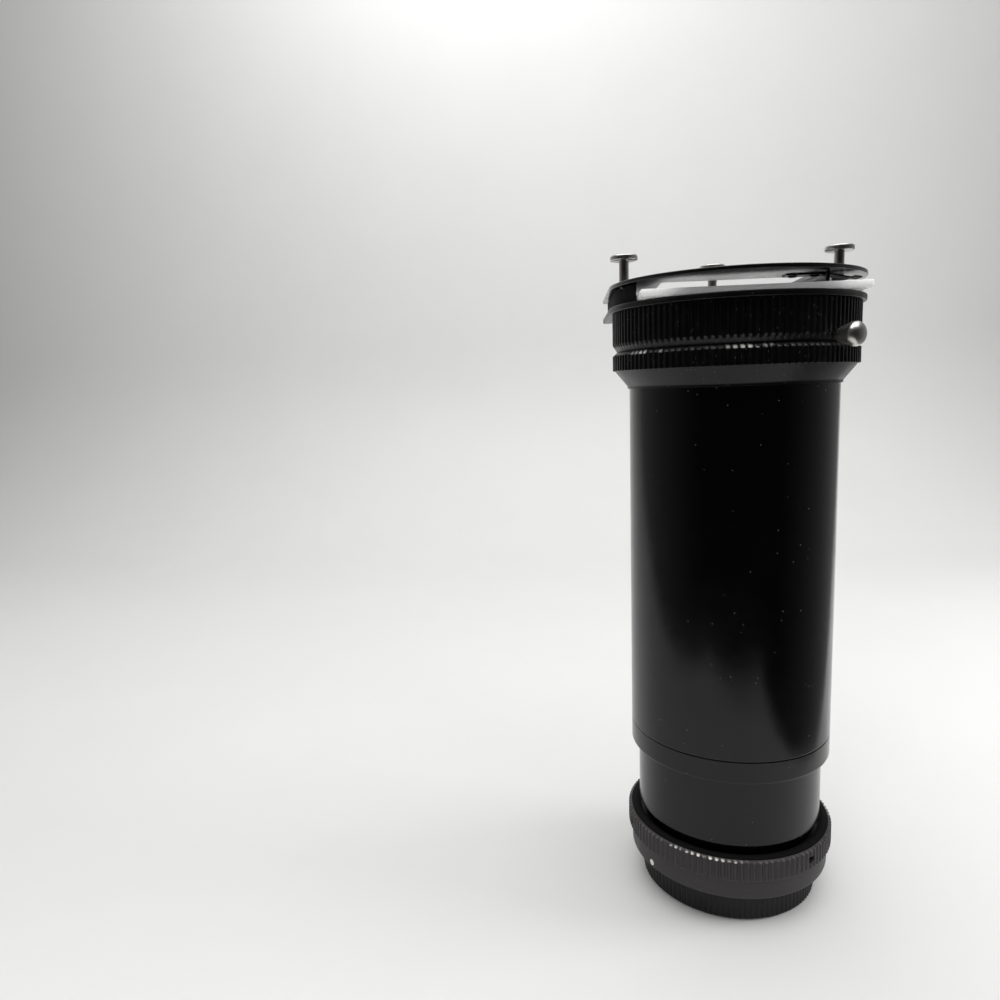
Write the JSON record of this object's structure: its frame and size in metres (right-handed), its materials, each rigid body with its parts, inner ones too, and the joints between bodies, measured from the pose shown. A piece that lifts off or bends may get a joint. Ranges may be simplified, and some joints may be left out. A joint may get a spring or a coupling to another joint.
{
  "type": "slide duplicator",
  "caption": "Copying lens in a long black tube with a screw-on camera adapter and a rotating stage that holds a mounted slide under a lifting pressure plate on guide pins.",
  "frame": {"origin": "centre of the underside of the rear cap, on the optical axis", "axes": "+Z along the optical axis from the camera end to the slide stage, +X along the long side of the picture window away from the slide rail, -Y the open side that a slide leaves by"},
  "size_m": [0.0624, 0.0624, 0.1697],
  "materials": {
    "gloss_black": "gloss black anodised",
    "satin_black": "satin black anodised",
    "dark_grey": "satin dark grey anodised",
    "black_plastic": "moulded satin",
    "nickel": "polished nickel plate",
    "steel": "bright steel",
    "black_steel": "blackened steel",
    "glass": "coated lens glass",
    "opal": "opal acrylic",
    "white_paint": "white enamel fill"
  },
  "bodies": {
    "tube": {"rear_barrel": "gloss_black", "main_tube": "gloss_black", "adapter_insert": "satin_black", "lens_cell": "satin_black", "rear_lens": "glass", "lens_spacers": "satin_black", "aperture_stop": "black_steel", "front_lens": "glass", "lens_retaining_ring": "satin_black", "light_baffle": "satin_black", "stage_collar": "satin_black"},
    "adapter": {"adapter_ring": "dark_grey", "adapter_set_screws": "black_steel", "index_dot": "white_paint"},
    "cap": {"rear_cap": "black_plastic"},
    "stage": {"stage_ring": "satin_black", "stage_plate": "satin_black", "stage_plate_screws": "black_steel", "slide_rail": "satin_black", "rail_screws": "black_steel", "guide_pins": "nickel"},
    "lock": {"lock_screw": "nickel"},
    "pressure": {"pressure_plate": "gloss_black", "near_leaf_spring": "black_steel", "far_leaf_spring": "black_steel", "spring_rivets": "black_steel"},
    "opal": {"opal_plate": "opal"}
  },
  "joints": [
    {"name": "stage_turn", "type": "hinge", "parent": "tube", "child": "stage", "pos_m": [0, 0, 0.15], "axis": [0, 0, 1], "continuous": true},
    {"name": "lock_screw_turn", "type": "hinge", "parent": "stage", "child": "lock", "pos_m": [0.01867, -0.0239, 0.14595], "axis": [0.6157, -0.788, 0], "range_deg": [0, 720]},
    {"name": "pressure_plate_lift", "type": "slide", "parent": "stage", "child": "pressure", "axis": [0, 0, 1], "range_m": [0, 0.0069]},
    {"name": "opal_plate_slide", "type": "slide", "parent": "stage", "child": "opal", "axis": [0, -1, 0], "range_m": [0, 0.057]},
    {"name": "adapter_turn", "type": "hinge", "parent": "tube", "child": "adapter", "pos_m": [0, 0, 0.015], "axis": [0, 0, 1], "continuous": true},
    {"name": "rear_cap_turn", "type": "hinge", "parent": "adapter", "child": "cap", "pos_m": [0, 0, 0.004], "axis": [0, 0, -1], "range_deg": [0, 2160]}
  ]
}
